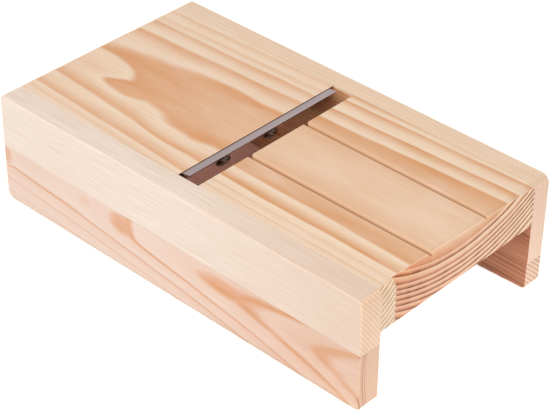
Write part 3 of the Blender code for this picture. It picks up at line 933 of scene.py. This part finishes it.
def build_screws(edge):
    """Two pan-head tapping screws through the blade's slots."""
    plating = dark_plating("dark_plating")
    skin = screw_skin()
    for node in SCREW_NODES:
        low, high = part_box(node)
        seat = Vector((edge.x, (low.y + high.y) / 2, edge.z))
        seat -= Vector((math.cos(BED_ANGLE), 0, math.sin(BED_ANGLE))) * SCREW_FROM_EDGE
        points, faces = lofted(skin)
        points = placed(points, bed_frame(seat))
        new_piece(node + "_turned", points, faces, plating, "table", "screw_steel", node)


def build_floor():
    """A plain pale floor at the foot of the walls."""
    recipe = Recipe("pale_floor")
    recipe.surface(Base_Color=(0.9, 0.9, 0.9, 1), Roughness=0.9)
    corners = np.array([(-1, -1, 0), (1, -1, 0), (1, 1, 0), (-1, 1, 0)]) * FLOOR_REACH
    mesh = bpy.data.meshes.new("pale_floor")
    mesh.from_pydata(corners.tolist(), [], [(0, 1, 2, 3)])
    mesh.materials.append(recipe.material)
    floor = bpy.data.objects.new("pale_floor", mesh)
    bpy.context.scene.collection.objects.link(floor)
    return floor


def hang(name, data, place, aim):
    """Put a lamp at a place, turned towards the aim."""
    lamp = bpy.data.objects.new(name, data)
    lamp.location = place
    lamp.rotation_mode = "QUATERNION"
    lamp.rotation_quaternion = (Vector(aim) - Vector(place)).to_track_quat("-Z", "Y")
    bpy.context.scene.collection.objects.link(lamp)
    return lamp


def area_light(name, place, aim, size, power, colour):
    """A large soft square lamp."""
    data = bpy.data.lights.new(name, "AREA")
    data.shape = "SQUARE"
    data.size = size
    data.energy = power
    data.color = colour
    hang(name, data, place, aim)


def floor_spot(name, place, aim, angle, power, colour, floor):
    """A lamp with a soft narrow cone that lights the floor alone."""
    data = bpy.data.lights.new(name, "SPOT")
    data.energy = power
    data.color = colour
    data.spot_size = math.radians(angle)
    data.spot_blend = 1.0
    data.shadow_soft_size = 0.04
    lamp = hang(name, data, place, aim)
    lit = bpy.data.collections.new(name + "_lights")
    lit.objects.link(floor)
    lamp.light_linking.receiver_collection = lit


def light_the_studio(floor):
    """White room light from all round, a warm soft lamp above, one in front and a small one behind.

    Two narrow spots light the floor alone: a white one keeps it white at the open end, and a
    warm one stands for the light that the wood throws on it under the other half of the table.
    """
    world = bpy.data.worlds.new("white_room")
    world.use_nodes = True
    room = world.node_tree.nodes["Background"]
    room.inputs["Color"].default_value = (1, 1, 1, 1)
    room.inputs["Strength"].default_value = ROOM_BRIGHTNESS
    bpy.context.scene.world = world
    area_light("overhead", (0.3, -0.5, 1.2), (0, 0, 0), 0.9, 14.7, (1, 0.85, 0.7))
    area_light("front", (-0.6, -1.3, 0.45), (0, 0, 0.02), 0.8, 9.5, (0.95, 0.99, 1))
    area_light("behind", (-0.9, 1.2, 1.4), (0, 0, 0.05), 0.5, 2.0, (1, 1, 1))
    floor_spot("open_end", (0.7, 0.05, 0.5), (0.085, 0.005, 0), 13, 60.0, (1, 1, 1), floor)
    floor_spot("under_the_table", (-0.8, 0.02, 0.22), (-0.04, 0.02, 0), 8, 9.0, (1, 0.15, 0.05), floor)
    bpy.context.scene.view_settings.view_transform = "Standard"


def aim_camera():
    """A camera at the photograph's place, turned by azimuth, elevation and roll."""
    data = bpy.data.cameras.new("camera")
    data.sensor_width = SENSOR_WIDTH
    data.lens = FOCAL_LENGTH_IN_PIXELS * SENSOR_WIDTH / PICTURE_WIDTH
    data.clip_start = 0.01
    data.clip_end = 50
    data.shift_x = -HALF_PIXEL / PICTURE_WIDTH
    data.shift_y = HALF_PIXEL / PICTURE_WIDTH
    camera = bpy.data.objects.new("camera", data)
    round_z = Matrix.Rotation(CAMERA_AZIMUTH, 4, "Z")
    raised = Matrix.Rotation(math.pi / 2 - CAMERA_ELEVATION, 4, "X")
    rolled = Matrix.Rotation(CAMERA_ROLL, 4, "Z")
    camera.matrix_world = Matrix.Translation(CAMERA_PLACE) @ round_z @ raised @ rolled
    bpy.context.scene.collection.objects.link(camera)
    bpy.context.scene.camera = camera


aim_camera()
light_the_studio(build_floor())
wall_strip("near_wall_lower", False, NEAR_LOWER_GRAIN)
wall_strip("near_wall_upper", True, NEAR_UPPER_GRAIN)
wall_strip("far_wall_lower", False, FAR_LOWER_GRAIN)
wall_strip("far_wall_upper", True, FAR_UPPER_GRAIN)
build_table()
build_screws(build_blade())
